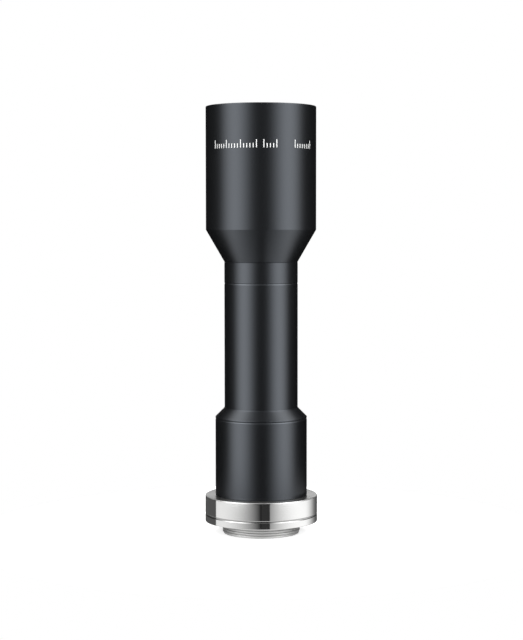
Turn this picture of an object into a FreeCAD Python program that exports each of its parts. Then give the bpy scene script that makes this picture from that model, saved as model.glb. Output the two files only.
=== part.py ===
"""Bi-telecentric machine-vision lens with a 1 inch, 32 threads per inch camera mount.

Millimetres, +Z up. The origin is on the optical axis, at the end face of the camera thread, so the
lens stands on its thread with the object side at the top. Every piece is turned about the Z axis,
and is drawn as a half section of (radius, height) points.
"""

import FreeCAD
import Part
import math
import os

# Camera mount flange and its male thread
thread_diameter = 25.4
thread_length = 4.0
thread_relief_width = 0.7
thread_relief_depth = 0.7
thread_end_chamfer = 0.4
seat_undercut = 0.2
seat_inner_margin = 0.4
mount_bore = 21.0
flange_diameter = 36.8
flange_thickness = 2.25
flange_rim = 0.25
flange_spigot_length = 2.0
flange_spigot_wall = 2.5

# Coupling ring between the flange and the rear barrel
coupling_height = 6.3
coupling_top_rim = 0.2
coupling_rim_wall = 2.85
coupling_land = 0.35
coupling_foot_rim = 0.25

# Rear barrel
rear_spigot_length = 3.85
rear_spigot_wall = 1.45
rear_shoulder = 1.5
rear_web_thickness = 1.3
rear_web_bore = 18.0
rear_socket_wall = 1.45

# Middle tube
tube_length = 40.78
tube_bore = 19.0
tube_top_spigot_wall = 1.3
tube_top_spigot_length = 5.5
tube_bottom_spigot_length = 4.27
flare_angle = 45.0
flare_land = 0.55
flare_shoulder = 0.2
flare_rim = 0.2
stop_ledge = 1.0

# Front barrel
front_length = 40.0
front_wall = 1.5
front_recess = 2.5
cone_angle = 30.0
cone_wall = 3.0
neck_length = 7.0
neck_wall = 1.15

# Aperture stop and the two baffles
stop_aperture = 6.0
stop_thickness = 0.4
stop_ring_height = 2.5
stop_ring_wall = 2.0
neck_baffle_thickness = 1.0
neck_baffle_aperture = 15.5
rear_baffle_thickness = 0.8
rear_baffle_aperture = 14.0
baffle_lip = 0.3

# Front lens group: the singlet faces the object, and the cemented pair sits on the barrel's seat
front_lens_diameter = 32.0
front_clear_aperture = 28.6
front_spacer_bore = 29.2
front_singlet_thickness = 6.5
front_singlet_top_radius = 120.0
front_singlet_bottom_radius = 215.0
front_air_gap = 1.0
front_crown_thickness = 8.0
front_crown_top_radius = 71.0
front_cement_radius = 74.0
front_flint_thickness = 3.0
front_flint_bottom_radius = 225.0
front_ring_height = 3.0
front_ring_bevel = 1.0

# Rear lens group: the cemented pair sits under its cell's ledge, and the meniscus faces the camera
rear_lens_diameter = 20.0
rear_clear_aperture = 17.4
rear_spacer_bore = 18.0
rear_flint_thickness = 1.6
rear_flint_top_radius = 51.0
rear_cement_radius = 20.5
rear_crown_thickness = 5.5
rear_crown_bottom_radius = 25.5
rear_air_gap = 0.8
rear_singlet_thickness = 4.0
rear_singlet_top_radius = 29.0
rear_singlet_bottom_radius = 68.0
rear_lower_spacer_height = 1.5
meniscus_thickness = 2.5
meniscus_top_radius = 32.0
meniscus_bottom_radius = 51.0
rear_ring_height = 2.0
rear_ring_bore = 17.0
cell_wall = 1.5
cell_ledge_thickness = 1.5
lock_ring_height = 2.0
lock_ring_wall = 2.4

# Refractive indices of the glasses
air_index = 1.0
singlet_index = 1.589
crown_index = 1.517
flint_index = 1.673

# Fits, edges and spanner slots that the pieces share
lens_clearance = 0.03
thread_clearance = 0.05
end_clearance = 0.1
ring_thread_step = 0.47
ring_recess = 0.3
joint_rim = 0.4
rim_slope = 20.0
mouth_chamfer = 0.25
edge_break = 0.15
inner_chamfer = 0.4
lens_bevel = 0.25
slot_width = 1.4
slot_depth = 1.0


def arc_drop(radius, reach):
    """How far a sphere of this radius has fallen away at this distance from the axis."""
    return radius - math.sqrt(radius * radius - reach * reach)


def cone_height(rise, angle):
    """Height over which a cone at this angle to the axis changes its radius by rise."""
    return rise / math.tan(math.radians(angle))


def rim_inset(height):
    """How far a sloped rim of this height leans in, so that it catches the light as a fine line."""
    return height * math.tan(math.radians(rim_slope))


def section_point(corner):
    """A (radius, height) corner as a point of the half section."""
    return FreeCAD.Vector(corner[0], 0, corner[1])


def turned(corners, arcs=None):
    """A solid turned from a closed outline. arcs maps a corner to the middle of the arc that leaves it."""
    arcs = arcs or {}
    edges = []
    for start, end in zip(corners, corners[1:] + corners[:1]):
        first = section_point(start)
        last = section_point(end)
        if start in arcs:
            edges.append(Part.Arc(first, section_point(arcs[start]), last).toShape())
        else:
            edges.append(Part.LineSegment(first, last).toShape())
    face = Part.Face(Part.Wire(edges))
    return face.revolve(FreeCAD.Vector(0, 0, 0), FreeCAD.Vector(0, 0, 1), 360)


def plain_ring(outer, inner, bottom, top):
    """A ring with square corners, for the pieces that are shut inside."""
    return turned([(inner, bottom), (outer, bottom), (outer, top), (inner, top)])


def spanner_slots(outer, inner, bottom, top):
    """Two opposite blocks that cut a ring's wall from bottom to top for a pin spanner."""
    overrun = 0.5
    length = outer - inner + 2 * overrun
    starts = (inner - overrun, -outer - overrun)
    corners = [FreeCAD.Vector(start, -slot_width / 2, bottom) for start in starts]
    blocks = [Part.makeBox(length, slot_width, top - bottom, corner) for corner in corners]
    return Part.makeCompound(blocks)


class Lens:
    """A glass element. A positive radius bulges outwards from the glass, and a negative one is hollow.

    A flat is where a hollow face stops short of the rim. It is the flat's inner diameter, or None.
    """

    def __init__(self, diameter, thickness, top_radius, bottom_radius, top_flat=None):
        self.rim = diameter / 2
        self.thickness = thickness
        self.top_radius = top_radius
        self.bottom_radius = bottom_radius
        self.top_flat = top_flat

    def below_top(self, reach):
        """How far the top face lies below its vertex at this distance from the axis."""
        return math.copysign(arc_drop(abs(self.top_radius), reach), self.top_radius)

    def above_bottom(self, reach):
        """How far the bottom face lies above its vertex at this distance from the axis."""
        return math.copysign(arc_drop(abs(self.bottom_radius), reach), self.bottom_radius)

    def solid(self, vertex):
        """The turned glass, with its top face's vertex at this height."""
        base = vertex - self.thickness
        land = self.rim - lens_bevel
        top_reach = self.top_flat / 2 if self.top_flat else land
        top_edge = vertex - self.below_top(top_reach)
        bottom_edge = base + self.above_bottom(land)
        top_flat = [(land, top_edge)] if self.top_flat else []
        top_vertex = (0.0, vertex)
        bottom_end = (land, bottom_edge)
        corners = [top_vertex, (top_reach, top_edge)] + top_flat
        corners += [(self.rim, top_edge - lens_bevel), (self.rim, bottom_edge + lens_bevel)]
        corners += [bottom_end, (0.0, base)]
        return turned(corners, {
            top_vertex: (top_reach / 2, vertex - self.below_top(top_reach / 2)),
            bottom_end: (land / 2, base + self.above_bottom(land / 2)),
        })


def focus_below(stack):
    """How far below the last vertex a ray that came down parallel to the axis crosses it.

    The stack lists each lens from the top, with its index and the air gap that follows it.
    """
    height = 1.0
    slope = 0.0
    index = air_index
    for lens, glass_index, gap in stack:
        faces = [(lens.top_radius, glass_index, lens.thickness), (-lens.bottom_radius, air_index, gap)]
        for radius, next_index, travel in faces:
            slope = (index * slope - height * (next_index - index) / radius) / next_index
            index = next_index
            height += slope * travel
    return -height / slope


# Radii that follow from the fits
thread_r = thread_diameter / 2
mount_bore_r = mount_bore / 2
flange_r = flange_diameter / 2
rear_ledge_r = rear_clear_aperture / 2
rear_spacer_r = rear_spacer_bore / 2
rear_ring_inner_r = rear_ring_bore / 2
cell_lens_bore_r = rear_lens_diameter / 2 + lens_clearance
cell_ring_bore_r = cell_lens_bore_r + ring_thread_step
cell_r = cell_ring_bore_r + cell_wall
cell_bore_r = cell_r + thread_clearance
rear_spigot_r = cell_bore_r + rear_spigot_wall
rear_r = rear_spigot_r + rear_shoulder
coupling_bore_r = rear_spigot_r + thread_clearance
coupling_socket_r = flange_r - coupling_rim_wall
flange_spigot_r = coupling_socket_r - thread_clearance
rear_socket_r = rear_r - rear_socket_wall
tube_bottom_spigot_r = rear_socket_r - thread_clearance
tube_bore_r = tube_bore / 2
stop_bore_r = tube_bore_r - stop_ledge
tube_top_spigot_r = tube_bore_r + tube_top_spigot_wall
neck_socket_r = tube_top_spigot_r + thread_clearance
tube_r = neck_socket_r + neck_wall
front_seat_r = front_clear_aperture / 2
front_spacer_r = front_spacer_bore / 2
front_lens_bore_r = front_lens_diameter / 2 + lens_clearance
front_ring_bore_r = front_lens_bore_r + ring_thread_step
front_r = front_ring_bore_r + front_wall

# The glass
front_singlet = Lens(
    front_lens_diameter, front_singlet_thickness, front_singlet_top_radius, front_singlet_bottom_radius
)
front_crown = Lens(
    front_lens_diameter, front_crown_thickness, front_crown_top_radius, front_cement_radius
)
front_flint = Lens(
    front_lens_diameter, front_flint_thickness, -front_cement_radius, front_flint_bottom_radius
)
rear_flint = Lens(
    rear_lens_diameter, rear_flint_thickness, -rear_flint_top_radius, -rear_cement_radius,
    top_flat=rear_clear_aperture
)
rear_crown = Lens(
    rear_lens_diameter, rear_crown_thickness, rear_cement_radius, rear_crown_bottom_radius
)
rear_singlet = Lens(
    rear_lens_diameter, rear_singlet_thickness, rear_singlet_top_radius, rear_singlet_bottom_radius
)
meniscus = Lens(
    rear_lens_diameter, meniscus_thickness, -meniscus_top_radius, meniscus_bottom_radius,
    top_flat=rear_spacer_bore
)

# Heights of the mount, and of the rings and the cell that hang in the rear barrel
seat = thread_length
coupling_bottom = seat + flange_thickness
coupling_top = coupling_bottom + coupling_height
rear_spigot_end = coupling_top - rear_spigot_length
lock_ring_bottom = rear_spigot_end + ring_recess
cell_bottom = lock_ring_bottom + lock_ring_height
rear_ring_bottom = cell_bottom + ring_recess
rear_ring_top = rear_ring_bottom + rear_ring_height

# The rear group is stacked up from its retaining ring
meniscus_vertex = rear_ring_top - meniscus.above_bottom(rear_ring_inner_r) + meniscus_thickness
lower_spacer_bottom = meniscus_vertex - meniscus.below_top(rear_spacer_r)
lower_spacer_top = lower_spacer_bottom + rear_lower_spacer_height
rear_singlet_base = lower_spacer_top - rear_singlet.above_bottom(rear_spacer_r)
rear_singlet_vertex = rear_singlet_base + rear_singlet_thickness
upper_spacer_bottom = rear_singlet_vertex - rear_singlet.below_top(rear_spacer_r)
rear_crown_base = rear_singlet_vertex + rear_air_gap
upper_spacer_top = rear_crown_base + rear_crown.above_bottom(rear_spacer_r)
rear_crown_vertex = rear_crown_base + rear_crown_thickness
rear_flint_vertex = rear_crown_vertex + rear_flint_thickness
cell_seat = rear_flint_vertex - rear_flint.below_top(rear_ledge_r)
cell_top = cell_seat + cell_ledge_thickness

# Heights of the rear barrel, the tube and the front barrel
rear_web_top = cell_top + rear_web_thickness
tube_bottom = rear_web_top + rear_baffle_thickness
lower_joint = tube_bottom + tube_bottom_spigot_length
flare_bottom = lower_joint + flare_land
flare_top = flare_bottom + cone_height(rear_r - tube_r - flare_shoulder, flare_angle) + flare_rim
upper_joint = flare_top + tube_length
tube_top = upper_joint + tube_top_spigot_length
neck_seat = tube_top + neck_baffle_thickness
cone_bottom = upper_joint + neck_length
cone_top = cone_bottom + cone_height(front_r - tube_r, cone_angle)
front_rim = cone_top + front_length

# The front group is stacked down from the front rim
front_ring_top = front_rim - front_recess
front_ring_bottom = front_ring_top - front_ring_height
front_singlet_vertex = front_ring_bottom + front_singlet.below_top(front_seat_r)
front_singlet_base = front_singlet_vertex - front_singlet_thickness
front_spacer_top = front_singlet_base + front_singlet.above_bottom(front_spacer_r)
front_crown_vertex = front_singlet_base - front_air_gap
front_spacer_bottom = front_crown_vertex - front_crown.below_top(front_spacer_r)
front_flint_vertex = front_crown_vertex - front_crown_thickness
front_flint_base = front_flint_vertex - front_flint_thickness
front_seat = front_flint_base + front_flint.above_bottom(front_seat_r)

# The stop lies where the front group brings parallel light to a point
stop_seat = front_flint_base - focus_below([
    (front_singlet, singlet_index, front_air_gap),
    (front_crown, crown_index, 0.0),
    (front_flint, flint_index, 0.0),
])


def mount_flange():
    """Flange and camera thread, one turned piece. The thread is a plain barrel at its crest."""
    relief_r = thread_r - thread_relief_depth
    relief_bottom = seat - thread_relief_width
    relief_top = seat + seat_undercut
    seat_inner_r = thread_r + seat_inner_margin
    spigot_top = coupling_bottom + flange_spigot_length
    spigot_inner = flange_spigot_r - flange_spigot_wall
    return turned([
        (mount_bore_r, edge_break),
        (mount_bore_r + edge_break, 0.0),
        (thread_r - thread_end_chamfer, 0.0),
        (thread_r, thread_end_chamfer),
        (thread_r, relief_bottom),
        (relief_r, relief_bottom),
        (relief_r, relief_top),
        (seat_inner_r, relief_top),
        (seat_inner_r, seat),
        (flange_r - edge_break, seat),
        (flange_r, seat + edge_break),
        (flange_r, coupling_bottom - flange_rim),
        (flange_r - rim_inset(flange_rim), coupling_bottom),
        (flange_spigot_r, coupling_bottom),
        (flange_spigot_r, spigot_top - edge_break),
        (flange_spigot_r - edge_break, spigot_top),
        (spigot_inner, spigot_top),
        (spigot_inner, coupling_bottom),
        (mount_bore_r, coupling_bottom),
    ])


def coupling_ring():
    """Bright ring. Its upper bore takes the rear barrel, and the lower one takes the flange.

    Its foot is set in by a fine land, which leaves a groove above the flange's sloped rim.
    """
    socket_end = coupling_bottom + flange_spigot_length + end_clearance
    land_top = coupling_bottom + coupling_land
    land_r = flange_r - rim_inset(coupling_foot_rim)
    return turned([
        (coupling_socket_r, coupling_bottom),
        (land_r, coupling_bottom),
        (land_r, land_top),
        (flange_r, land_top + coupling_foot_rim),
        (flange_r, coupling_top - coupling_top_rim),
        (flange_r - rim_inset(coupling_top_rim), coupling_top),
        (coupling_bore_r, coupling_top),
        (coupling_bore_r, socket_end),
        (coupling_socket_r, socket_end),
    ])


def rear_barrel():
    """Black rear barrel. The lens cell hangs in it from below, and the tube screws in from above."""
    web_r = rear_web_bore / 2
    return turned([
        (cell_bore_r, rear_spigot_end),
        (rear_spigot_r - edge_break, rear_spigot_end),
        (rear_spigot_r, rear_spigot_end + edge_break),
        (rear_spigot_r, coupling_top),
        (rear_r - edge_break, coupling_top),
        (rear_r, coupling_top + edge_break),
        (rear_r, lower_joint - joint_rim),
        (rear_r - rim_inset(joint_rim), lower_joint),
        (rear_socket_r, lower_joint),
        (rear_socket_r, rear_web_top),
        (web_r, rear_web_top),
        (web_r, cell_top),
        (cell_bore_r, cell_top),
    ])


def rear_cell():
    """Sleeve that holds the rear group. Its ledge is at the top, and it is loaded from below."""
    thread_end = rear_ring_top + end_clearance
    return turned([
        (cell_ring_bore_r, cell_bottom),
        (cell_r - edge_break, cell_bottom),
        (cell_r, cell_bottom + edge_break),
        (cell_r, cell_top),
        (rear_ledge_r + inner_chamfer, cell_top),
        (rear_ledge_r, cell_top - inner_chamfer),
        (rear_ledge_r, cell_seat),
        (cell_lens_bore_r, cell_seat),
        (cell_lens_bore_r, thread_end),
        (cell_ring_bore_r, thread_end),
    ])


def rear_retaining_ring():
    """Slotted ring, bevelled towards the camera, that holds the rear group up in its cell."""
    outer = cell_ring_bore_r - thread_clearance
    ring = turned([
        (rear_ring_inner_r + inner_chamfer, rear_ring_bottom),
        (outer, rear_ring_bottom),
        (outer, rear_ring_top),
        (rear_ring_inner_r, rear_ring_top),
        (rear_ring_inner_r, rear_ring_bottom + inner_chamfer),
    ])
    slot_top = rear_ring_bottom + slot_depth
    return ring.cut(spanner_slots(outer, rear_ring_inner_r, rear_ring_bottom, slot_top))


def cell_lock_ring():
    """Slotted ring that holds the cell up in the rear barrel."""
    outer = cell_bore_r - thread_clearance
    inner = outer - lock_ring_wall
    ring = plain_ring(outer, inner, lock_ring_bottom, cell_bottom)
    return ring.cut(spanner_slots(outer, inner, lock_ring_bottom, lock_ring_bottom + slot_depth))


def middle_tube():
    """Long tube with a flared foot. The stop sits on a ledge in its bore."""
    shoulder_r = tube_r + flare_shoulder
    return turned([
        (stop_bore_r, tube_bottom),
        (tube_bottom_spigot_r - edge_break, tube_bottom),
        (tube_bottom_spigot_r, tube_bottom + edge_break),
        (tube_bottom_spigot_r, lower_joint),
        (rear_r - edge_break, lower_joint),
        (rear_r, lower_joint + edge_break),
        (rear_r, flare_bottom),
        (shoulder_r, flare_top - flare_rim),
        (shoulder_r - rim_inset(flare_rim), flare_top),
        (tube_r, flare_top),
        (tube_r, upper_joint - joint_rim),
        (tube_r - rim_inset(joint_rim), upper_joint),
        (tube_top_spigot_r, upper_joint),
        (tube_top_spigot_r, tube_top - edge_break),
        (tube_top_spigot_r - edge_break, tube_top),
        (tube_bore_r, tube_top),
        (tube_bore_r, stop_seat),
        (stop_bore_r, stop_seat),
    ])


def baffle(outer, aperture, bottom, thickness):
    """Ring whose lip is bevelled to a thin edge, so that it returns no light."""
    lip_r = aperture / 2
    bevel = thickness - baffle_lip
    return turned([
        (lip_r + bevel, bottom),
        (outer, bottom),
        (outer, bottom + thickness),
        (lip_r, bottom + thickness),
        (lip_r, bottom + bevel),
    ])


def aperture_stop():
    """Thin disc on the tube's ledge. Its small hole limits the light to rays parallel to the axis."""
    return plain_ring(
        tube_bore_r - lens_clearance, stop_aperture / 2, stop_seat, stop_seat + stop_thickness
    )


def stop_retaining_ring():
    """Slotted ring that holds the stop down on its ledge."""
    outer = tube_bore_r - thread_clearance
    inner = outer - stop_ring_wall
    bottom = stop_seat + stop_thickness
    top = bottom + stop_ring_height
    return plain_ring(outer, inner, bottom, top).cut(spanner_slots(outer, inner, top - slot_depth, top))


def front_barrel():
    """Front barrel, cone and neck, one turned piece with a stepped bore for the front group."""
    ring_thread_end = front_ring_bottom - end_clearance
    bore_cone_bottom = cone_bottom + cone_height(tube_bore_r + cone_wall - tube_r, cone_angle)
    bore_cone_top = bore_cone_bottom + cone_height(front_seat_r - tube_bore_r, cone_angle)
    return turned([
        (neck_socket_r, upper_joint),
        (neck_socket_r, neck_seat),
        (tube_bore_r, neck_seat),
        (tube_bore_r, bore_cone_bottom),
        (front_seat_r, bore_cone_top),
        (front_seat_r, front_seat),
        (front_lens_bore_r, front_seat),
        (front_lens_bore_r, ring_thread_end),
        (front_ring_bore_r, ring_thread_end),
        (front_ring_bore_r, front_rim - inner_chamfer),
        (front_ring_bore_r + inner_chamfer, front_rim),
        (front_r - mouth_chamfer, front_rim),
        (front_r, front_rim - mouth_chamfer),
        (front_r, cone_top),
        (tube_r, cone_bottom),
        (tube_r, upper_joint + edge_break),
        (tube_r - edge_break, upper_joint),
    ])


def front_retaining_ring():
    """Slotted ring, bevelled towards the object, that holds the front group down on its seat."""
    outer = front_ring_bore_r - thread_clearance
    ring = turned([
        (front_seat_r, front_ring_bottom),
        (outer, front_ring_bottom),
        (outer, front_ring_top),
        (front_seat_r + front_ring_bevel, front_ring_top),
        (front_seat_r, front_ring_top - front_ring_bevel),
    ])
    return ring.cut(spanner_slots(outer, front_seat_r, front_ring_top - slot_depth, front_ring_top))


def all_pieces():
    """Every piece under its own name, from the camera to the object."""
    front_rim_r = front_lens_diameter / 2
    rear_rim_r = rear_lens_diameter / 2
    return {
        "mount_flange": mount_flange(),
        "coupling_ring": coupling_ring(),
        "rear_barrel": rear_barrel(),
        "cell_lock_ring": cell_lock_ring(),
        "rear_cell": rear_cell(),
        "rear_retaining_ring": rear_retaining_ring(),
        "rear_meniscus": meniscus.solid(meniscus_vertex),
        "rear_lower_spacer": plain_ring(rear_rim_r, rear_spacer_r, lower_spacer_bottom, lower_spacer_top),
        "rear_singlet": rear_singlet.solid(rear_singlet_vertex),
        "rear_upper_spacer": plain_ring(rear_rim_r, rear_spacer_r, upper_spacer_bottom, upper_spacer_top),
        "rear_crown": rear_crown.solid(rear_crown_vertex),
        "rear_flint": rear_flint.solid(rear_flint_vertex),
        "rear_baffle": baffle(
            tube_bottom_spigot_r, rear_baffle_aperture, rear_web_top, rear_baffle_thickness
        ),
        "middle_tube": middle_tube(),
        "aperture_stop": aperture_stop(),
        "stop_retaining_ring": stop_retaining_ring(),
        "neck_baffle": baffle(tube_top_spigot_r, neck_baffle_aperture, tube_top, neck_baffle_thickness),
        "front_barrel": front_barrel(),
        "front_flint": front_flint.solid(front_flint_vertex),
        "front_crown": front_crown.solid(front_crown_vertex),
        "front_spacer": plain_ring(front_rim_r, front_spacer_r, front_spacer_bottom, front_spacer_top),
        "front_singlet": front_singlet.solid(front_singlet_vertex),
        "front_retaining_ring": front_retaining_ring(),
    }


def main():
    os.makedirs("parts", exist_ok=True)
    for name, shape in all_pieces().items():
        shape.exportStep("parts/" + name + ".step")
        box = shape.BoundBox
        span = f"{box.ZMin:7.2f} to {box.ZMax:7.2f}"
        print(f"{name:21s} z {span}  volume {shape.Volume:8.1f}  valid {shape.isValid()}")
    print(f"flange seat {seat:.2f}, lower joint {lower_joint:.2f}, upper joint {upper_joint:.2f}")
    print(f"cone {cone_bottom:.2f} to {cone_top:.2f}, front rim {front_rim:.2f}, stop {stop_seat:.2f}")


main()
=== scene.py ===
"""Dresses the bi-telecentric lens: satin black barrels on a bright, threaded camera mount.

Metres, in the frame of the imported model: +Z runs up the optical axis from the end of the camera
thread. Outlines of turned pieces are written in millimetres as (radius, height) corners.
"""
import bpy
import bmesh
import math
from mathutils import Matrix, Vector


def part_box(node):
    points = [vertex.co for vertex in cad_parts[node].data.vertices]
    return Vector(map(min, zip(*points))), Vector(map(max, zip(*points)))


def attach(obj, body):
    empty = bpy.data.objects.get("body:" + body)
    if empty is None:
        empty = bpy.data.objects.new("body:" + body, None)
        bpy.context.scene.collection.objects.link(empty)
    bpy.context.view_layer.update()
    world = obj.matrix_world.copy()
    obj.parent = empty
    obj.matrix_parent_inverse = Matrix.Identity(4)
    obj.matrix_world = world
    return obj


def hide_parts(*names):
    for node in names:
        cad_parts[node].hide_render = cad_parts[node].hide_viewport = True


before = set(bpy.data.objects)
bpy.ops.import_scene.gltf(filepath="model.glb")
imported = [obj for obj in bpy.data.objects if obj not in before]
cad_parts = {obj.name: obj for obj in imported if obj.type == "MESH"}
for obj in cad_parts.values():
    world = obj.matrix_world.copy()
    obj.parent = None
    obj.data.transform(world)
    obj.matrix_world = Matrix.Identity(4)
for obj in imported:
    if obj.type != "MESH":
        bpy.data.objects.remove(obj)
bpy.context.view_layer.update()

MM = 0.001

# Camera, worked out from the perspective of the rims in the photograph
camera_distance = 523.4
camera_height = 99.8
camera_side_step = 0.16
camera_pitch = 3.26
camera_roll = 0.05
camera_lens = 90.0
camera_sensor = 36.0

# Turned pieces: sizes in millimetres, columns round a piece and steps round an eased edge
tube_radius = 12.0
barrel_radius = 15.0
around = 192
edge_steps = 3
fine_edge = 0.05
hold_distance = 0.03
face_margin = 0.01
rim_slope = math.tan(math.radians(20))
joint_rim = 0.4
neck_edge = 0.15
flare_edge = 0.22
cone_slope = math.tan(math.radians(30))

# Camera thread, 32 threads to the inch, in millimetres
thread_radius = 12.7
thread_pitch = 25.4 / 32
thread_depth = 0.30
thread_turns = 3.35
thread_start = 0.35
thread_relief_bottom = 3.3
seat = 4.0

# Directions in the studio are in degrees: turn is the way round from the camera's side, and slope
# is above the level. The panels and the arch are placed by the walls that mirror them to the
# camera, which lies the way of to_camera.
to_camera = (0, -1, 0.04)
studio_turn = 0.75
panel_turn = ((5.5, 27.5), (29.5, 49.5))
panel_slope = ((-65, -5), (47, 59))
panel_parting = 2.5
panel_parting_slope = (30, 48)
panel_light = 3.3
arch_turn = (45, 62)
arch_slope = ((10, 15), (25, 30))
arch_light = 0.45
arch_panel_gain = 0.8
back_turn = (165, 172)
back_slope = ((5, 8), (12, 16))
back_half_width = 0.05
back_light = (1.80, 2.20)
room_light = 0.005

# Floor: its size in millimetres, its own white, and a painted reflection for bright metal to
# mirror: a glow seen by glossy rays alone, painted brighter on both sides, less on the left, and
# fading to the rear, with a painted dark band in front and a painted grey band behind on the left.
# Their places are twice the turn of the spot on the ring, in degrees. Near the foot the painted
# glow is darker at the sides than in front.
floor_radius = 95.0
floor_white = 0.5
floor_painted_reflection_strength = 1.25
floor_left_share = 0.8
floor_fade = (100, 150)
floor_rear_share = 0.2
painted_front_dark_band = ((-4, 4), (17, 18))
painted_front_dark_band_level = 0.03
painted_rear_grey_band = (-107, -106)
painted_rear_grey_band_level = 0.08
floor_near = (27.0, 33.0)
floor_near_painted_glow = (0.38, 0.90)
floor_near_side = 0.35

# Index marks in white. Each group has its name, the turn of its first mark and the step between
# marks in degrees, how many steps lie between tall marks, and its count.
mark_radius = 18.0
mark_height = 125.4
mark_groups = (("marks_left", -54, 3.3, 5, 16), ("marks_centre", 3, 3.3, 4, 5),
               ("marks_right", 37, 3.3, 7, 8))


def top(node):
    """Height of a CAD node's highest point, in millimetres."""
    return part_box(node)[1][2] / MM


def bottom(node):
    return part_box(node)[0][2] / MM


def radius(node):
    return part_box(node)[1][0] / MM


def span(degrees):
    """A range of angles, in radians."""
    return [math.radians(value) for value in degrees]


def link(obj):
    bpy.context.scene.collection.objects.link(obj)
    return obj


class Nodes:
    """A node tree with short calls for making and wiring its nodes."""

    def __init__(self, tree):
        self.tree = tree

    def node(self, kind, inputs=None, **settings):
        made = self.tree.nodes.new(kind)
        for key, value in settings.items():
            setattr(made, key, value)
        for key, value in (inputs or {}).items():
            self.feed(value, made.inputs[key])
        return made

    def feed(self, value, socket):
        if isinstance(value, bpy.types.NodeSocket):
            self.tree.links.new(value, socket)
        else:
            socket.default_value = value

    def math(self, operation, *values):
        inputs = dict(enumerate(values))
        return self.node("ShaderNodeMath", inputs, operation=operation).outputs[0]

    def times(self, first, *others):
        for other in others:
            first = self.math("MULTIPLY", first, other)
        return first

    def plus(self, first, *others):
        for other in others:
            first = self.math("ADD", first, other)
        return first

    def vector(self, x=0.0, y=0.0, z=0.0):
        return self.node("ShaderNodeCombineXYZ", {0: x, 1: y, 2: z}).outputs[0]

    def split(self, vector):
        return self.node("ShaderNodeSeparateXYZ", {0: vector}).outputs

    def length(self, vector):
        measured = self.node("ShaderNodeVectorMath", {0: vector}, operation="LENGTH")
        return measured.outputs["Value"]

    def spread(self, value, low, high, start=0.0, end=1.0, kind="LINEAR"):
        """The value's range from start to end, mapped onto low to high."""
        mapped = self.node("ShaderNodeMapRange", {
            "Value": value, "From Min": start, "From Max": end, "To Min": low, "To Max": high,
        }, interpolation_type=kind)
        return mapped.outputs["Result"]

    def rise(self, value, span):
        """0 below the span and 1 above it, with a smooth step between."""
        return self.spread(value, 0.0, 1.0, span[0], span[1], "SMOOTHSTEP")

    def fall(self, value, span):
        return self.spread(value, 1.0, 0.0, span[0], span[1], "SMOOTHSTEP")

    def seen_directly(self):
        """1 for camera rays and for rays through glass."""
        path = self.node("ShaderNodeLightPath").outputs
        return self.math("MAXIMUM", path["Is Camera Ray"], path["Is Transmission Ray"])


class Finish(Nodes):
    """A material, with the patterns that these finishes share."""

    def __init__(self, name):
        self.material = bpy.data.materials.new(name)
        self.material.use_nodes = True
        super().__init__(self.material.node_tree)
        self.tree.nodes.clear()
        self.output = self.node("ShaderNodeOutputMaterial").inputs["Surface"]

    def place(self):
        return self.node("ShaderNodeTexCoord").outputs["Object"]

    def turning_lines(self, spacing):
        """Noise that is even round the axis, as a cutting tool leaves it on walls and faces."""
        x, y, z = self.split(self.place())
        section = self.vector(self.length(self.vector(x, y)), z)
        lines = self.node("ShaderNodeTexNoise", {
            "Vector": section, "Scale": 1 / (spacing * MM), "Detail": 2.0,
        }, noise_dimensions="2D")
        return lines.outputs["Fac"]

    def grain(self, size, detail=3.0):
        """Even speckle of this size."""
        speckle = self.node("ShaderNodeTexNoise", {
            "Vector": self.place(), "Scale": 1 / (size * MM), "Detail": detail,
        })
        return speckle.outputs["Fac"]

    def shades(self, factor, first, second):
        blend = self.node("ShaderNodeMix", data_type="RGBA")
        self.feed(factor, blend.inputs["Factor"])
        self.feed((*first, 1), blend.inputs["A"])
        self.feed((*second, 1), blend.inputs["B"])
        return blend.outputs["Result"]

    def relief(self, height, strength, depth, below=None):
        inputs = {"Height": height, "Strength": strength, "Distance": depth * MM}
        if below is not None:
            inputs["Normal"] = below
        return self.node("ShaderNodeBump", inputs).outputs["Normal"]

    def surface(self, **inputs):
        named = {key.replace("_", " "): value for key, value in inputs.items()}
        shader = self.node("ShaderNodeBsdfPrincipled", named)
        self.feed(shader.outputs[0], self.output)
        return self.material


def satin_black():
    """Black anodising on finely turned aluminium: a cool black with a soft sheen."""
    finish = Finish("satin_black_anodise")
    grain = finish.grain(0.12)
    normal = finish.relief(finish.turning_lines(0.09), 0.12, 0.010)
    normal = finish.relief(grain, 0.12, 0.012, normal)
    colour = finish.shades(finish.grain(9), (0.0022, 0.0023, 0.0025), (0.0032, 0.0033, 0.0035))
    return finish.surface(
        Base_Color=colour,
        Roughness=finish.spread(grain, 0.28, 0.34),
        IOR=1.62,
        Specular_Tint=(0.83, 0.90, 1.0, 1),
        Normal=normal,
    )


def matte_black():
    """Flat black for bores, cells and rings inside, which must return little light."""
    finish = Finish("matte_black_anodise")
    grain = finish.grain(0.15)
    return finish.surface(
        Base_Color=finish.shades(grain, (0.006, 0.006, 0.0065), (0.012, 0.012, 0.013)),
        Roughness=finish.spread(grain, 0.5, 0.65),
        IOR=1.5,
        Normal=finish.relief(finish.turning_lines(0.12), 0.25, 0.015),
    )


def bright_nickel(name, smooth, rough, dark, light):
    """Nickel over turned metal. The turning lines spread a reflection up and down."""
    finish = Finish(name)
    lines = finish.turning_lines(0.07)
    tangent = finish.node("ShaderNodeTangent", direction_type="RADIAL", axis="Z").outputs[0]
    return finish.surface(
        Base_Color=finish.shades(finish.grain(6), dark, light),
        Metallic=1.0,
        Roughness=finish.spread(lines, smooth, rough),
        Anisotropic=0.5,
        Anisotropic_Rotation=0.25,
        Tangent=tangent,
        Normal=finish.relief(lines, 0.08, 0.006),
    )


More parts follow.
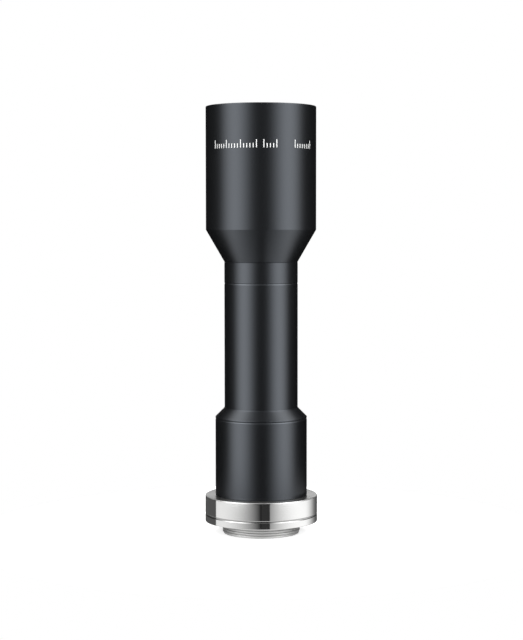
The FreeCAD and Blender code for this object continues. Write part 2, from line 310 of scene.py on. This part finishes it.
def coated_glass():
    """Polished optical glass. Its thin coating leaves a faint violet reflection."""
    finish = Finish("coated_glass")
    return finish.surface(
        Base_Color=(0.97, 0.99, 0.98, 1),
        Roughness=finish.spread(finish.grain(1.5, 5.0), 0.0, 0.002),
        IOR=1.59,
        Transmission_Weight=1.0,
        Thin_Film_Thickness=125.0,
        Thin_Film_IOR=1.30,
    )


def edge_black():
    """Dull black paint on the ground edges of the lenses."""
    finish = Finish("edge_black")
    grain = finish.grain(0.2)
    return finish.surface(
        Base_Color=finish.shades(grain, (0.008, 0.008, 0.008), (0.014, 0.014, 0.014)),
        Roughness=finish.spread(grain, 0.7, 0.9),
        Normal=finish.relief(grain, 0.3, 0.02),
    )


def white_ink():
    """White paint filled into fine engraving."""
    finish = Finish("white_ink")
    grain = finish.grain(0.08)
    return finish.surface(
        Base_Color=finish.shades(grain, (0.72, 0.73, 0.73), (0.84, 0.84, 0.83)),
        Roughness=finish.spread(grain, 0.5, 0.7),
        Normal=finish.relief(grain, 0.15, 0.01),
    )


def eased(corners):
    """The closed outline with its corners rounded. A corner's third value is its own size."""
    points = []
    for index, corner in enumerate(corners):
        middle = Vector(corner[:2])
        before = Vector(corners[index - 1][:2]) - middle
        after = Vector(corners[(index + 1) % len(corners)][:2]) - middle
        size = corner[2] if len(corner) > 2 else fine_edge
        if not size:
            points.append(middle)
            continue
        reach = min(size, before.length * 0.45, after.length * 0.45)
        start = middle + before.normalized() * reach
        end = middle + after.normalized() * reach
        for step in range(edge_steps + 1):
            t = step / edge_steps
            points.append(start * (1 - t) ** 2 + middle * (2 * t * (1 - t)) + end * t ** 2)
    return points


def held(outline):
    """The outline with points added beside its corners, so that its long walls shade flat."""
    points = []
    for index, start in enumerate(outline):
        along = outline[(index + 1) % len(outline)] - start
        points.append(start)
        if along.length > 8 * hold_distance:
            step = along.normalized() * hold_distance
            points += [start + step, start + along - step]
    return points


def shown(name, builder, materials):
    """The built mesh as an object, smooth but for its sharp edges."""
    mesh = bpy.data.meshes.new(name)
    builder.to_mesh(mesh)
    builder.free()
    for material in materials:
        mesh.materials.append(material)
    for polygon in mesh.polygons:
        polygon.use_smooth = True
    mesh.set_sharp_from_angle(angle=math.radians(32))
    return link(bpy.data.objects.new(name, mesh))


def spun(outline):
    """A closed shell made by turning the outline about the axis."""
    builder = bmesh.new()
    rings = []
    for column in range(around):
        angle = math.tau * column / around
        x = math.cos(angle) * MM
        y = math.sin(angle) * MM
        rings.append([builder.verts.new((r * x, r * y, z * MM)) for r, z in outline])
    for column, ring in enumerate(rings):
        following = rings[(column + 1) % around]
        for row, vertex in enumerate(ring):
            below = (row + 1) % len(ring)
            if outline[row].x or outline[below].x:
                builder.faces.new((vertex, following[row], following[below], ring[below]))
    bmesh.ops.remove_doubles(builder, verts=builder.verts[:], dist=1e-8)
    bmesh.ops.recalc_face_normals(builder, faces=builder.faces[:])
    return builder


def stand_in(piece, slot, *nodes):
    """Shows this piece in place of the CAD nodes."""
    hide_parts(*nodes)
    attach(piece, "root")


def turned(node, slot, corners, wall, bore, bands=()):
    """A turned piece in place of its CAD node, with its own finish in its bore. A band gives all
    but the bore another finish between two heights, and a later band lies over an earlier one."""
    builder = spun(held(eased(corners)))
    for face in builder.faces:
        middle = face.calc_center_median() / MM
        if face.normal.xy.dot(middle.xy) < -1.0:
            face.material_index = 1
            continue
        for number, (_, low, high) in enumerate(bands):
            if low < middle.z < high:
                face.material_index = number + 2
    piece = shown(node + "_body", builder, [wall, bore] + [band[0] for band in bands])
    stand_in(piece, slot, node)


def front_barrel():
    """Front barrel: eased rims, a thread in its mouth, and grooves against stray light."""
    outer = radius("front_barrel")
    rim = top("front_barrel")
    foot = bottom("front_barrel")
    cone_top = rim - 40.0
    cone_bottom = cone_top - (outer - tube_radius) / cone_slope
    bore_cone = cone_bottom + 0.5 / cone_slope
    bore_top = bore_cone + 4.8 / cone_slope
    lens_seat = bottom("front_flint") + 0.46
    thread_end = bottom("front_retaining_ring") - 0.1
    neck_socket, neck_bore, bore, lens_bore, mouth_bore = 10.85, 9.5, 14.3, 16.03, 16.5
    groove_floor = bore + 0.35
    mouth_floor = mouth_bore + 0.22
    mouth_bevel = 0.4
    line_depth = 0.1
    line_top = cone_bottom - 0.04
    grooves = []
    for number in range(19):
        z = bore_top + 1.0 + 0.8 * number
        grooves += [(bore, z, 0), (groove_floor, z + 0.15, 0), (bore, z + 0.75, 0)]
    mouth = []
    for number in range(9):
        z = thread_end + 0.3 + 0.5 * number
        mouth += [(mouth_bore, z, 0), (mouth_floor, z + 0.2, 0), (mouth_floor, z + 0.26, 0),
                  (mouth_bore, z + 0.46, 0)]
    turned("front_barrel", "black_anodised", [
        (neck_socket, foot), (neck_socket, top("neck_baffle")), (neck_bore, top("neck_baffle")),
        (neck_bore, bore_cone), (bore, bore_top), *grooves, (bore, lens_seat),
        (lens_bore, lens_seat), (lens_bore, thread_end), (mouth_bore, thread_end, 0), *mouth,
        (mouth_bore, rim - mouth_bevel), (mouth_bore + mouth_bevel, rim), (outer, rim, 0.3),
        (outer, cone_top), (tube_radius, cone_bottom), (tube_radius, line_top, 0),
        (tube_radius - line_depth, line_top - line_depth, 0),
        (tube_radius, line_top - 2 * line_depth, 0),
        (tube_radius, foot + neck_edge, 0.03), (tube_radius - neck_edge, foot, 0),
    ], black, matte)


def middle_tube():
    """Long tube. Its flared foot ends in a fine shoulder, and its bore is blackened."""
    foot = bottom("middle_tube")
    head = top("middle_tube")
    lower_joint = foot + 4.27
    upper_joint = head - 5.5
    flare = lower_joint + 0.55
    shoulder = flare + 3.0
    shoulder_radius, shoulder_rim = 12.2, 0.2
    stop_seat = bottom("aperture_stop")
    lower_spigot, upper_spigot = 13.5, 10.8
    lower_bore, upper_bore = 8.5, 9.5
    turned("middle_tube", "black_anodised", [
        (lower_bore, foot), (lower_spigot, foot), (lower_spigot, lower_joint),
        (barrel_radius - flare_edge, lower_joint, 0),
        (barrel_radius, lower_joint + flare_edge, 0.03), (barrel_radius, flare),
        (shoulder_radius, shoulder - shoulder_rim),
        (shoulder_radius - shoulder_rim * rim_slope, shoulder),
        (tube_radius, shoulder), (tube_radius, upper_joint - joint_rim),
        (tube_radius - joint_rim * rim_slope, upper_joint), (upper_spigot, upper_joint),
        (upper_spigot, head), (upper_bore, head), (upper_bore, stop_seat),
        (lower_bore, stop_seat),
    ], black, matte)


def rear_barrel():
    """Rear barrel, with a sloped rim at its upper joint."""
    foot = bottom("rear_barrel")
    head = top("rear_barrel")
    shoulder = foot + 3.85
    web = top("rear_cell")
    web_top = web + 1.3
    cell_bore, web_bore, spigot, socket = 12.05, 9.0, 13.5, 13.55
    turned("rear_barrel", "black_anodised", [
        (cell_bore, foot), (spigot, foot), (spigot, shoulder), (barrel_radius, shoulder, 0.2),
        (barrel_radius, head - joint_rim), (barrel_radius - joint_rim * rim_slope, head),
        (socket, head), (socket, web_top), (web_bore, web_top), (web_bore, web), (cell_bore, web),
    ], black, matte)


def coupling_ring():
    """Bright ring with a faced top and a fine sloped rim. Its foot is set in, as a groove above the
    flange."""
    foot = bottom("coupling_ring")
    head = top("coupling_ring")
    outer = radius("coupling_ring")
    land = outer - 0.25 * rim_slope
    land_top = foot + 0.42
    groove_top = foot + 0.54
    rim_height = 0.2
    bore, foot_bore, foot_depth = 13.55, 15.55, 2.1
    # The groove at the foot, the top rim and the faced top take darker copies of the nickel:
    # painted shade
    bands = (
        (groove_nickel, foot, groove_top), (cut_nickel, head - rim_height, head),
        (faced_nickel, head - face_margin, head + face_margin),
    )
    turned("coupling_ring", "bright_nickel", [
        (foot_bore, foot), (land, foot, 0.03), (land, land_top, 0.03), (outer, groove_top, 0.03),
        (outer, head - rim_height), (outer - rim_height * rim_slope, head), (bore, head),
        (bore, foot + foot_depth), (foot_bore, foot + foot_depth),
    ], nickel, nickel, bands)


def camera_mount():
    """Flange and camera thread: the body, turned to the thread's root, with the ridge wound on."""
    root = thread_radius - thread_depth
    flange = radius("mount_flange")
    flange_top = bottom("coupling_ring")
    rim_height = 0.16
    head = top("mount_flange")
    bore, spigot_bore, spigot = 10.5, 13.0, 15.5
    relief = 12.0
    undercut, undercut_top = thread_radius + 0.4, seat + 0.2
    # The thread and the flange's top rim take darker copies of the nickel: painted shade
    bands = ((cut_nickel, 0.0, seat - 0.1), (groove_nickel, flange_top - rim_height, flange_top))
    turned("mount_flange", "bright_nickel", [
        (bore, 0.0, 0.15), (root, 0.0), (root, thread_relief_bottom),
        (relief, thread_relief_bottom), (relief, undercut_top), (undercut, undercut_top),
        (undercut, seat), (flange, seat, 0.1), (flange, flange_top - rim_height),
        (flange - rim_height * rim_slope, flange_top),
        (spigot, flange_top), (spigot, head), (spigot_bore, head), (spigot_bore, flange_top),
        (bore, flange_top),
    ], nickel, matte, bands)
    # The thread's ridge takes the darker nickel too: painted shade under the flange
    ridge = thread_ridge().piece(
        "camera_thread", cut_nickel, root_radius=root * MM, start_height=thread_start * MM,
        pitch=thread_pitch * MM, turns=thread_turns, depth=thread_depth * MM,
    )
    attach(ridge, "root")


def ball_drop(ball, reach):
    """How far a sphere has fallen away at this distance from the axis. A hollow one rises."""
    return math.copysign(abs(ball) - math.sqrt(ball * ball - reach * reach), ball)


def lens(name, nodes, rim, top_ball, top_vertex, bottom_ball, bottom_vertex, flat=None):
    """A smooth lens with a black edge. Outside the flat, a hollow top face is ground level."""
    bevel = 0.25
    steps = 40
    reaches = [(rim - bevel) * step / steps for step in range(steps + 1)]
    upper = [(r, top_vertex - ball_drop(top_ball, min(r, flat or rim))) for r in reaches]
    lower = [(r, bottom_vertex + ball_drop(bottom_ball, r)) for r in reversed(reaches)]
    edge = [(rim, upper[-1][1] - bevel), (rim, lower[0][1] + bevel)]
    builder = spun([Vector(point) for point in upper + edge + lower])
    for face in builder.faces:
        if face.calc_center_median().xy.length > (rim - bevel) * MM:
            face.material_index = 1
    piece = shown(name, builder, (glass, lens_edge))
    stand_in(piece, "coated_glass", *nodes)


def lenses():
    """Both groups. Each cemented pair is shown as the one block of glass that it looks like."""
    lens("front_lens", ["front_singlet"], rim=16, top_ball=120, top_vertex=top("front_singlet"),
         bottom_ball=215, bottom_vertex=bottom("front_singlet"))
    lens("front_doublet", ["front_crown", "front_flint"], rim=16,
         top_ball=71, top_vertex=top("front_crown"),
         bottom_ball=225, bottom_vertex=bottom("front_flint"))
    lens("rear_doublet", ["rear_crown", "rear_flint"], rim=10,
         top_ball=-51, top_vertex=top("rear_crown") + 1.6,
         bottom_ball=25.5, bottom_vertex=bottom("rear_crown"), flat=8.7)
    lens("rear_lens", ["rear_singlet"], rim=10, top_ball=29, top_vertex=top("rear_singlet"),
         bottom_ball=68, bottom_vertex=bottom("rear_singlet"))
    lens("rear_meniscus_lens", ["rear_meniscus"], rim=10,
         top_ball=-32, top_vertex=bottom("rear_meniscus") + 2.5,
         bottom_ball=51, bottom_vertex=bottom("rear_meniscus"), flat=9.0)


class Repeat(Nodes):
    """A geometry tree with named sizes, whose result is kept as a plain mesh."""

    def __init__(self, name, sizes):
        super().__init__(bpy.data.node_groups.new(name, "GeometryNodeTree"))
        self.sizes = sizes
        sockets = self.tree.interface
        sockets.new_socket("Geometry", in_out="INPUT", socket_type="NodeSocketGeometry")
        for label, value in sizes.items():
            kind = "NodeSocketInt" if isinstance(value, int) else "NodeSocketFloat"
            sockets.new_socket(label, in_out="INPUT", socket_type=kind)
        sockets.new_socket("material", in_out="INPUT", socket_type="NodeSocketMaterial")
        sockets.new_socket("Geometry", in_out="OUTPUT", socket_type="NodeSocketGeometry")
        self.given = self.node("NodeGroupInput").outputs
        self.result = self.node("NodeGroupOutput").inputs[0]

    def make(self, kind, inputs=None, **settings):
        return self.node("GeometryNode" + kind, inputs, **settings).outputs[0]

    def finish(self, geometry):
        real = self.make("RealizeInstances", {"Geometry": geometry})
        painted = self.make("SetMaterial", {"Geometry": real, "Material": self.given["material"]})
        self.feed(painted, self.result)

    def piece(self, name, material, **changes):
        holder = link(bpy.data.objects.new(name, bpy.data.meshes.new(name)))
        modifier = holder.modifiers.new(name, "NODES")
        modifier.node_group = self.tree
        values = {**self.sizes, **changes, "material": material}
        for socket in self.tree.interface.items_tree:
            if socket.in_out == "INPUT" and socket.name in values:
                modifier[socket.identifier] = values[socket.name]
        graph = bpy.context.evaluated_depsgraph_get()
        mesh = bpy.data.meshes.new_from_object(holder.evaluated_get(graph))
        holder.modifiers.clear()
        holder.data = mesh
        return holder


def mark_row():
    """A row of upright marks round a barrel. The first is tall, and then one in so many."""
    row = Repeat("mark_row", {
        "radius": 18 * MM, "height": 125 * MM, "first_turn": 0.0, "step": 0.06, "count": 9,
        "tall_every": 5, "mark_width": 0.27 * MM, "mark_height": 1.35 * MM, "tall_scale": 1.9,
        "thickness": 0.03 * MM,
    })
    size = row.given
    index = row.make("InputIndex")
    turn = row.plus(row.times(index, size["step"]), size["first_turn"])
    x = row.times(row.math("SINE", turn), size["radius"])
    y = row.times(row.math("COSINE", turn), size["radius"], -1.0)
    points = row.make("MeshLine", {"Count": size["count"]})
    points = row.make("SetPosition", {
        "Geometry": points, "Position": row.vector(x, y, size["height"]),
    })
    tall = row.math("COMPARE", row.math("MODULO", index, size["tall_every"]), 0.0, 0.1)
    growth = row.plus(row.times(tall, row.math("SUBTRACT", size["tall_scale"], 1.0)), 1.0)
    mark = row.make("MeshCube", {
        "Size": row.vector(size["mark_width"], size["thickness"], size["mark_height"]),
    })
    lift = row.vector(z=row.times(size["mark_height"], 0.5))
    mark = row.make("Transform", {"Geometry": mark, "Translation": lift})
    row.finish(row.make("InstanceOnPoints", {
        "Points": points, "Instance": mark, "Rotation": row.vector(z=turn),
        "Scale": row.vector(1.0, 1.0, growth),
    }))
    return row


def thread_ridge():
    """A thread's ridge: a V section wound up a helix, fading in and out at its ends."""
    ridge = Repeat("thread_ridge", {
        "root_radius": 12.2 * MM, "start_height": 0.4 * MM, "pitch": 0.79 * MM, "turns": 3.5,
        "depth": 0.4 * MM, "base": 0.78 * MM, "crest": 0.46 * MM, "fade": 0.05, "steps": 160,
    })
    size = ridge.given
    helix = ridge.make("CurveSpiral", {
        "Resolution": size["steps"], "Rotations": size["turns"],
        "Start Radius": size["root_radius"], "End Radius": size["root_radius"],
        "Height": ridge.times(size["pitch"], size["turns"]),
    })
    helix = ridge.make("Transform", {
        "Geometry": helix, "Translation": ridge.vector(z=size["start_height"]),
    })
    upright = ridge.node("GeometryNodeSetCurveNormal", {"Curve": helix})
    upright.mode = "Z_UP"
    along = ridge.node("GeometryNodeSplineParameter").outputs["Factor"]
    to_end = ridge.math("MINIMUM", along, ridge.math("SUBTRACT", 1.0, along))
    fade = ridge.math("MINIMUM", ridge.math("DIVIDE", to_end, size["fade"]), 1.0)
    section = ridge.node("GeometryNodeCurvePrimitiveQuadrilateral", mode="POINTS")
    root = ridge.times(size["depth"], 0.15)
    crest = ridge.times(size["depth"], -1.0)
    corners = ((root, "base", 0.5), (crest, "crest", 0.5), (crest, "crest", -0.5),
               (root, "base", -0.5))
    for number, (inward, width, side) in enumerate(corners):
        corner = ridge.vector(inward, ridge.times(size[width], side))
        ridge.feed(corner, section.inputs["Point " + str(number + 1)])
    ridge.finish(ridge.make("CurveToMesh", {
        "Curve": upright.outputs[0], "Profile Curve": section.outputs[0], "Fill Caps": True,
        "Scale": ridge.math("MAXIMUM", fade, 0.02),
    }))
    return ridge


def index_marks():
    """White graduations in three groups round the front barrel."""
    row = mark_row()
    for name, first, step, tall_every, count in mark_groups:
        marks = row.piece(
            name, ink, radius=mark_radius * MM, height=mark_height * MM,
            first_turn=math.radians(first), step=math.radians(step), count=count,
            tall_every=tall_every,
        )
        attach(marks, "root")


def studio():
    """White all round for the camera. The object is lit by two tall soft panels at its sides, which
    lean in overhead, by a faint arch above, and by a bright strip of wall low behind."""
    world = bpy.data.worlds.new("studio")
    world.use_nodes = True
    light = Nodes(world.node_tree)
    light.tree.nodes.clear()

    def turn_and_slope(vector):
        x, y, z = light.split(vector)
        turn = light.math("ARCTAN2", x, light.times(y, -1.0))
        turn = light.math("ABSOLUTE", light.plus(turn, -math.radians(studio_turn)))
        slope = light.math("ARCTAN2", z, light.length(light.vector(x, y)))
        return turn, slope

    direction = light.node("ShaderNodeTexCoord").outputs["Generated"]
    # Half way between a direction and the camera's is the way a wall faces that mirrors it there
    halfway = light.node("ShaderNodeVectorMath", {0: direction, 1: to_camera}, operation="ADD")
    turn, slope = turn_and_slope(halfway.outputs[0])
    parting = light.times(light.rise(slope, span(panel_parting_slope)), math.radians(panel_parting))
    aside = light.math("SUBTRACT", turn, parting)
    sides = light.times(
        light.rise(aside, span(panel_turn[0])), light.fall(aside, span(panel_turn[1]))
    )
    height = light.times(
        light.rise(slope, span(panel_slope[0])), light.fall(slope, span(panel_slope[1]))
    )
    arch = light.times(
        light.rise(slope, span(arch_slope[0])), light.fall(slope, span(arch_slope[1]))
    )
    panels = light.times(sides, height, panel_light)
    panels = light.times(panels, light.spread(arch, 1.0, 1.0 + arch_panel_gain))
    overhead = light.times(arch, light.fall(turn, span(arch_turn)), arch_light)
    turn, slope = turn_and_slope(direction)
    wall = light.times(
        light.rise(turn, span(back_turn)), light.rise(slope, span(back_slope[0])),
        light.fall(slope, span(back_slope[1])),
    )
    across = light.split(direction)[0]
    wall = light.times(wall, light.spread(across, *back_light, -back_half_width, back_half_width))
    lit = light.plus(panels, overhead, wall, room_light)
    strength = light.node("ShaderNodeMix", {"Factor": light.seen_directly(), "A": lit, "B": 1.0})
    background = light.node("ShaderNodeBackground", {
        "Color": (1, 1, 1, 1), "Strength": strength.outputs["Result"],
    })
    output = light.node("ShaderNodeOutputWorld")
    light.feed(background.outputs[0], output.inputs[0])
    bpy.context.scene.world = world


def floor():
    """A pale round table top. It stays white to the camera but for the object's soft shadow."""
    finish = Finish("pale_floor")
    place = finish.place()
    x, y, _ = finish.split(place)
    reach = finish.length(place)
    azimuth = finish.math("ARCTAN2", x, finish.times(y, -1.0))
    # The turn of the spot on the bright ring that mirrors this spot of the floor to the camera
    shrink = finish.math("DIVIDE", radius("coupling_ring") * MM, reach)
    shrink = finish.math("MINIMUM", shrink, 1.0)
    spot = finish.times(azimuth, 0.5)
    for _ in range(3):
        offset = finish.math("ARCSINE", finish.times(shrink, finish.math("SINE", spot)))
        spot = finish.times(finish.plus(azimuth, offset), 0.5)
    turn = finish.times(spot, 2.0)
    # Painted reflection: the floor's glow to glossy rays is painted brighter on both sides of the
    # ring's spot, less on the left, and it fades to the rear
    sine = finish.math("SINE", turn)
    lit = finish.math("MAXIMUM", sine, finish.times(sine, -floor_left_share))
    aside = finish.math("ABSOLUTE", turn)
    lit = finish.times(lit, finish.spread(
        aside, 1.0, floor_rear_share, *span(floor_fade), "SMOOTHSTEP"
    ))
    # A painted dark band in front and a painted grey band behind on the left
    in_front = finish.times(
        finish.rise(turn, span(painted_front_dark_band[0])), finish.fall(turn, span(painted_front_dark_band[1]))
    )
    lit = finish.node("ShaderNodeMix", {"Factor": in_front, "A": lit, "B": painted_front_dark_band_level})
    lit = finish.node("ShaderNodeMix", {
        "Factor": finish.fall(turn, span(painted_rear_grey_band)), "A": lit.outputs["Result"],
        "B": painted_rear_grey_band_level,
    }).outputs["Result"]
    # Near the foot the painted glow is darker at the sides than in front
    far = finish.rise(reach, [value * MM for value in floor_near])
    frontal = finish.times(finish.math("DIVIDE", y, reach), -1.0)
    near = finish.spread(frontal, *floor_near_painted_glow, floor_near_side)
    level = finish.node("ShaderNodeMix", {"Factor": far, "A": near, "B": lit})
    path = finish.node("ShaderNodeLightPath").outputs
    # Only glossy rays see this painted glow, and the bright ring mirrors it as its bands
    mirrored = finish.times(path["Is Glossy Ray"], level.outputs["Result"], floor_painted_reflection_strength)
    glow = finish.plus(mirrored, finish.times(finish.seen_directly(), floor_white))
    glow = finish.node("ShaderNodeEmission", {"Strength": glow}).outputs[0]
    colour = finish.shades(finish.grain(2), (0.78, 0.78, 0.78), (0.82, 0.82, 0.82))
    matt = finish.node("ShaderNodeBsdfDiffuse", {"Color": colour}).outputs[0]
    matt = finish.node("ShaderNodeMixShader", {0: path["Is Glossy Ray"], 1: matt}).outputs[0]
    above = finish.node("ShaderNodeAddShader", {0: matt, 1: glow}).outputs[0]
    below = finish.node("ShaderNodeBsdfTransparent").outputs[0]
    underneath = finish.node("ShaderNodeNewGeometry").outputs["Backfacing"]
    sided = finish.node("ShaderNodeMixShader", {0: underneath, 1: above, 2: below})
    finish.feed(sided.outputs[0], finish.output)
    builder = bmesh.new()
    bmesh.ops.create_circle(builder, cap_ends=True, segments=96, radius=floor_radius * MM)
    shown("floor", builder, [finish.material])


def camera():
    data = bpy.data.cameras.new("camera")
    data.lens = camera_lens
    data.sensor_width = camera_sensor
    holder = link(bpy.data.objects.new("camera", data))
    holder.location = (camera_side_step * MM, -camera_distance * MM, camera_height * MM)
    holder.rotation_euler = (math.radians(90 - camera_pitch), math.radians(camera_roll), 0.0)
    bpy.context.scene.camera = holder


def paint(material, *nodes):
    """Gives CAD nodes whose shape is right a better finish."""
    for node in nodes:
        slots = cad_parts[node].data.materials
        slots.clear()
        slots.append(material)


black = satin_black()
matte = matte_black()
nickel = bright_nickel("bright_nickel", 0.05, 0.09, (0.76, 0.76, 0.755), (0.80, 0.80, 0.79))
# Darker than the nickel in the groove at the joint of ring and flange: painted shade. It is also a
# little rougher.
groove_nickel = bright_nickel("groove_nickel", 0.10, 0.16, (0.42, 0.42, 0.415), (0.46, 0.46, 0.455))
# Darker than the nickel on the ring's faced top: painted shade, so that the top doesn't mirror the
# bright wall behind. It is also rougher.
faced_nickel = bright_nickel("faced_nickel", 0.30, 0.36, (0.31, 0.31, 0.305), (0.36, 0.36, 0.355))
# Darker than the nickel on the thread under the flange and on the ring's top rim: painted shade on
# the thread and a dimmed highlight on the rim. It is also rougher.
cut_nickel = bright_nickel("cut_nickel", 0.50, 0.58, (0.52, 0.52, 0.515), (0.58, 0.58, 0.575))
glass = coated_glass()
lens_edge = edge_black()
ink = white_ink()

paint(matte, "front_retaining_ring", "front_spacer", "neck_baffle", "aperture_stop",
      "stop_retaining_ring", "rear_baffle", "rear_cell", "rear_upper_spacer", "rear_lower_spacer",
      "rear_retaining_ring", "cell_lock_ring")
front_barrel()
middle_tube()
rear_barrel()
coupling_ring()
camera_mount()
lenses()
index_marks()
studio()
floor()
camera()
bpy.context.scene.view_settings.view_transform = "Standard"
